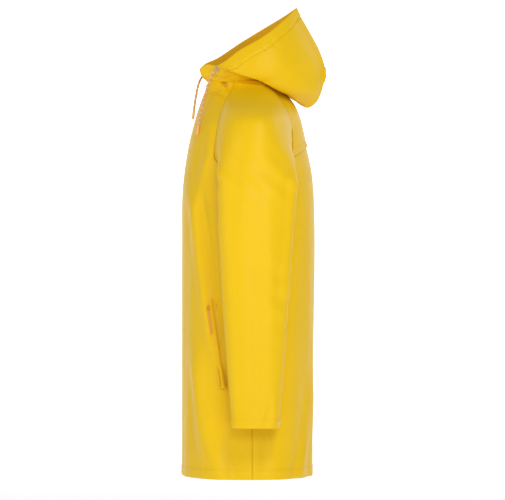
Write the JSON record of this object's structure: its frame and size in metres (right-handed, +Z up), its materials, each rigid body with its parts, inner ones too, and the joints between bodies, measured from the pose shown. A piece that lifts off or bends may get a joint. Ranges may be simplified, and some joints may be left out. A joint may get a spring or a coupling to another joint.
{
  "type": "hooded raincoat",
  "caption": "Knee-length hooded raincoat in yellow coated fabric, with raglan sleeves, a front zip, slanted zipped pockets and a hood drawcord.",
  "frame": {"origin": "inside the nape, at the hanger loop that the coat hangs by", "axes": "+Z up as worn, -Y out of the front, +X to the wearer's left"},
  "size_m": [0.6562, 0.3362, 1.087],
  "materials": {
    "coated_fabric": "smooth coated face with a soft sheen",
    "fabric_inside": "matt knitted inside",
    "woven_tape": "matt woven tape",
    "zip_plastic": "satin",
    "cord": "braided with pale flecks",
    "cord_tip": "satin",
    "metal_trim": "satin"
  },
  "bodies": {
    "coat": {"left_front_panel": "coated_fabric", "right_front_panel": "coated_fabric", "back_panel": "coated_fabric", "back_yoke": "coated_fabric", "left_shoulder": "coated_fabric", "right_shoulder": "coated_fabric", "left_pocket_welt": "coated_fabric", "right_pocket_welt": "coated_fabric", "chin_left": "coated_fabric", "chin_right": "coated_fabric", "left_front_hem_facing": "fabric_inside", "right_front_hem_facing": "fabric_inside", "back_hem_facing": "fabric_inside", "wind_flap": "fabric_inside", "left_pocket_bag": "fabric_inside", "right_pocket_bag": "fabric_inside", "neck_tape": "fabric_inside", "left_zip_tape": "woven_tape", "right_zip_tape": "woven_tape", "hanger_loop": "woven_tape", "zip_teeth": "zip_plastic", "left_pocket_zip": "zip_plastic", "right_pocket_zip": "zip_plastic", "drawcord_left": "cord", "drawcord_right": "cord", "cord_tip_left": "cord_tip", "cord_tip_right": "cord_tip", "zip_bottom_box": "metal_trim", "eyelet_left": "metal_trim", "eyelet_right": "metal_trim"},
    "hood": {"hood_left": "coated_fabric", "hood_right": "coated_fabric", "hood_tunnel_left": "fabric_inside", "hood_tunnel_right": "fabric_inside"},
    "left_arm": {"left_sleeve": "coated_fabric", "left_cuff_facing": "fabric_inside", "left_cuff_snap_cap": "metal_trim", "left_cuff_snap_stud": "metal_trim"},
    "right_arm": {"right_sleeve": "coated_fabric", "right_cuff_facing": "fabric_inside", "right_cuff_snap_cap": "metal_trim", "right_cuff_snap_stud": "metal_trim"},
    "front_slider": {"zip_slider": "metal_trim"},
    "front_pull": {"zip_pull": "zip_plastic"},
    "left_slider": {"left_pocket_slider": "zip_plastic"},
    "left_puller": {"left_pocket_puller": "cord"},
    "right_slider": {"right_pocket_slider": "zip_plastic"},
    "right_puller": {"right_pocket_puller": "cord"}
  },
  "joints": [
    {"name": "hood_raise", "type": "hinge", "parent": "coat", "child": "hood", "pos_m": [0, -0.128, 0.016], "axis": [1, 0, 0], "range_deg": [0, 58]},
    {"name": "left_arm_swing", "type": "hinge", "parent": "coat", "child": "left_arm", "pos_m": [0.28, -0.024, -0.155], "axis": [-1, 0, 0], "range_deg": [-35, 80]},
    {"name": "right_arm_swing", "type": "hinge", "parent": "coat", "child": "right_arm", "pos_m": [-0.28, -0.024, -0.155], "axis": [-1, 0, 0], "range_deg": [-35, 80]},
    {"name": "front_zip", "type": "hinge", "parent": "coat", "child": "front_slider", "pos_m": [0, 0.5785, -0.297], "axis": [1, 0, 0], "range_deg": [0, 22]},
    {"name": "front_pull_swing", "type": "hinge", "parent": "front_slider", "child": "front_pull", "pos_m": [0, -0.14624, -0.00208], "axis": [-1, 0, 0], "range_deg": [-20, 100]},
    {"name": "left_pocket_zip_slide", "type": "slide", "parent": "coat", "child": "left_slider", "axis": [0.1461, 0.1493, -0.9779], "range_m": [0, 0.17]},
    {"name": "left_puller_swing", "type": "hinge", "parent": "left_slider", "child": "left_puller", "pos_m": [0.2029, -0.13956, -0.51438], "axis": [-0.5184, -0.8304, -0.2042], "range_deg": [0, 150]},
    {"name": "right_pocket_zip_slide", "type": "slide", "parent": "coat", "child": "right_slider", "axis": [-0.1461, 0.1493, -0.9779], "range_m": [0, 0.17]},
    {"name": "right_puller_swing", "type": "hinge", "parent": "right_slider", "child": "right_puller", "pos_m": [-0.2029, -0.13956, -0.51438], "axis": [-0.5184, 0.8304, 0.2042], "range_deg": [0, 150]}
  ]
}
